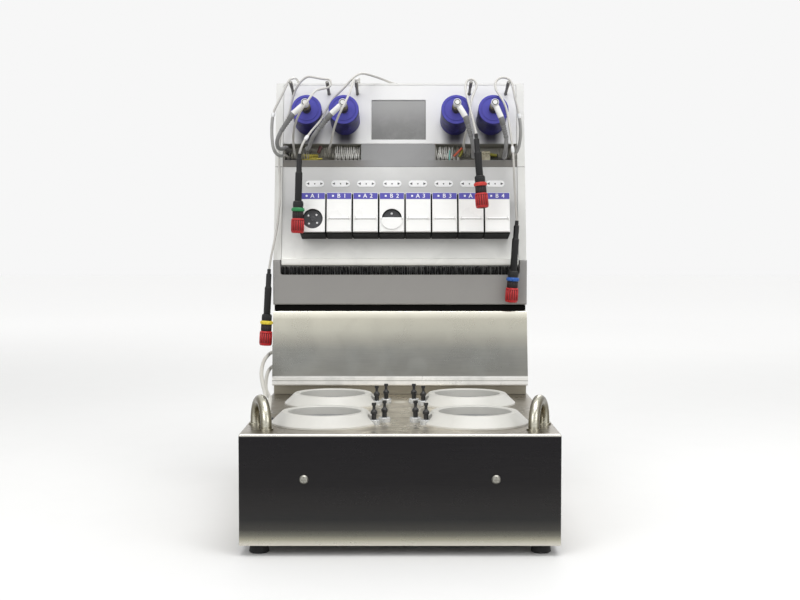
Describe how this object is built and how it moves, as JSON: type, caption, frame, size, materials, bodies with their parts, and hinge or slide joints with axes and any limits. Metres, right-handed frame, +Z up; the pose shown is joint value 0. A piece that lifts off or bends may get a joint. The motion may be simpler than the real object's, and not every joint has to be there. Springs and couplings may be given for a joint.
{
  "type": "bench bioreactor",
  "caption": "Steel bench bioreactor base with heated wells and a leaning tower of small tube pumps, overhead stirrer drives and hanging sensor cables.",
  "frame": {"origin": "middle of the base's footprint, on the bench", "axes": "+Z up, the front with the wells faces -Y, +X to the right seen from the front"},
  "size_m": [0.2976, 0.484, 0.465],
  "materials": {
    "base_steel": "brushed",
    "floor_steel": "satin",
    "foot_rubber": "matte",
    "screw_steel": "satin",
    "collar_white": "satin",
    "cup_aluminium": "satin",
    "sink_aluminium": "satin",
    "handle_steel": "polished",
    "socket_clear": "gloss",
    "plug_black": "satin",
    "guide_rubber": "matte",
    "tower_paint": "satin",
    "back_paint": "satin",
    "splash_steel": "brushed",
    "fascia_grey": "satin",
    "brush_black": "matte",
    "panel_silver": "satin",
    "shelf_grey": "satin",
    "tray_grey": "satin",
    "display_glass": "gloss",
    "peg_steel": "satin",
    "pump_black": "satin",
    "pump_white": "satin",
    "motor_steel": "satin",
    "cable_socket_grey": "satin",
    "fitting_white": "satin",
    "drive_violet": "gloss",
    "drive_plug_grey": "satin",
    "connector_black": "satin",
    "rotor_grey": "satin",
    "lid_white": "satin",
    "cable_drive_grey": "matte",
    "cable_sensor_grey": "matte"
  },
  "bodies": {
    "station": {"base_housing": "base_steel", "base_floor": "floor_steel", "base_feet": "foot_rubber", "panel_screws": "screw_steel", "well_collar_1": "collar_white", "well_collar_2": "collar_white", "well_collar_3": "collar_white", "well_collar_4": "collar_white", "well_cups": "cup_aluminium", "heat_sinks": "sink_aluminium", "handles": "handle_steel", "sensor_sockets": "socket_clear", "dust_plugs": "plug_black", "cable_guides": "guide_rubber", "tower_shell": "tower_paint", "tower_back": "back_paint", "splash_plate": "splash_steel", "lower_fascia": "fascia_grey", "slot_brush": "brush_black", "pump_panel": "panel_silver", "shelf_cover": "shelf_grey", "port_trays": "tray_grey", "upper_panel": "panel_silver", "display_glass": "display_glass", "cable_pegs": "peg_steel", "pump_housings": "pump_black", "pump_faces": "pump_white", "pump_motors": "motor_steel", "cable_sockets": "cable_socket_grey", "shelf_fittings": "fitting_white", "drive_motors": "drive_violet", "drive_plugs": "drive_plug_grey", "sensor_connectors": "connector_black", "cord_yellow": "cable_sensor_grey", "cord_green": "cable_sensor_grey", "cord_red": "cable_sensor_grey", "cord_blue": "cable_sensor_grey", "cord_lead_left": "cable_sensor_grey", "cord_lead_middle": "cable_sensor_grey", "cord_drive_1": "cable_drive_grey", "cord_drive_2": "cable_drive_grey", "cord_drive_3": "cable_drive_grey", "cord_drive_4": "cable_drive_grey", "cord_side_upper": "cable_drive_grey", "cord_side_lower": "cable_drive_grey"},
    "rotor_1": {"pump_rotor_1": "rotor_grey"},
    "rotor_2": {"pump_rotor_2": "rotor_grey"},
    "rotor_3": {"pump_rotor_3": "rotor_grey"},
    "rotor_4": {"pump_rotor_4": "rotor_grey"},
    "rotor_5": {"pump_rotor_5": "rotor_grey"},
    "rotor_6": {"pump_rotor_6": "rotor_grey"},
    "rotor_7": {"pump_rotor_7": "rotor_grey"},
    "rotor_8": {"pump_rotor_8": "rotor_grey"},
    "lid_2": {"pump_lid_2": "lid_white"},
    "lid_3": {"pump_lid_3": "lid_white"},
    "lid_4": {"pump_lid_4": "lid_white"},
    "lid_5": {"pump_lid_5": "lid_white"},
    "lid_6": {"pump_lid_6": "lid_white"},
    "lid_7": {"pump_lid_7": "lid_white"},
    "lid_8": {"pump_lid_8": "lid_white"}
  },
  "joints": [
    {"name": "rotor_1_turn", "type": "hinge", "parent": "station", "child": "rotor_1", "pos_m": [-0.09495, 0.08198, 0.29606], "axis": [0, -0.9781, 0.2079], "continuous": true},
    {"name": "rotor_2_turn", "type": "hinge", "parent": "station", "child": "rotor_2", "pos_m": [-0.06625, 0.08198, 0.29606], "axis": [0, -0.9781, 0.2079], "continuous": true},
    {"name": "rotor_3_turn", "type": "hinge", "parent": "station", "child": "rotor_3", "pos_m": [-0.03755, 0.08198, 0.29606], "axis": [0, -0.9781, 0.2079], "continuous": true},
    {"name": "rotor_4_turn", "type": "hinge", "parent": "station", "child": "rotor_4", "pos_m": [-0.00885, 0.08198, 0.29606], "axis": [0, -0.9781, 0.2079], "continuous": true},
    {"name": "rotor_5_turn", "type": "hinge", "parent": "station", "child": "rotor_5", "pos_m": [0.01985, 0.08198, 0.29606], "axis": [0, -0.9781, 0.2079], "continuous": true},
    {"name": "rotor_6_turn", "type": "hinge", "parent": "station", "child": "rotor_6", "pos_m": [0.04855, 0.08198, 0.29606], "axis": [0, -0.9781, 0.2079], "continuous": true},
    {"name": "rotor_7_turn", "type": "hinge", "parent": "station", "child": "rotor_7", "pos_m": [0.07725, 0.08198, 0.29606], "axis": [0, -0.9781, 0.2079], "continuous": true},
    {"name": "rotor_8_turn", "type": "hinge", "parent": "station", "child": "rotor_8", "pos_m": [0.10595, 0.08198, 0.29606], "axis": [0, -0.9781, 0.2079], "continuous": true},
    {"name": "lid_2_fold", "type": "hinge", "parent": "station", "child": "lid_2", "pos_m": [-0.06625, 0.05205, 0.30242], "axis": [1, 0, 0], "range_deg": [0, 178]},
    {"name": "lid_3_fold", "type": "hinge", "parent": "station", "child": "lid_3", "pos_m": [-0.03755, 0.05205, 0.30242], "axis": [1, 0, 0], "range_deg": [0, 178]},
    {"name": "lid_4_fold", "type": "hinge", "parent": "station", "child": "lid_4", "pos_m": [-0.00885, 0.05205, 0.30242], "axis": [1, 0, 0], "range_deg": [-178, 0]},
    {"name": "lid_5_fold", "type": "hinge", "parent": "station", "child": "lid_5", "pos_m": [0.01985, 0.05205, 0.30242], "axis": [1, 0, 0], "range_deg": [0, 178]},
    {"name": "lid_6_fold", "type": "hinge", "parent": "station", "child": "lid_6", "pos_m": [0.04855, 0.05205, 0.30242], "axis": [1, 0, 0], "range_deg": [0, 178]},
    {"name": "lid_7_fold", "type": "hinge", "parent": "station", "child": "lid_7", "pos_m": [0.07725, 0.05205, 0.30242], "axis": [1, 0, 0], "range_deg": [0, 178]},
    {"name": "lid_8_fold", "type": "hinge", "parent": "station", "child": "lid_8", "pos_m": [0.10595, 0.05205, 0.30242], "axis": [1, 0, 0], "range_deg": [0, 178]}
  ]
}
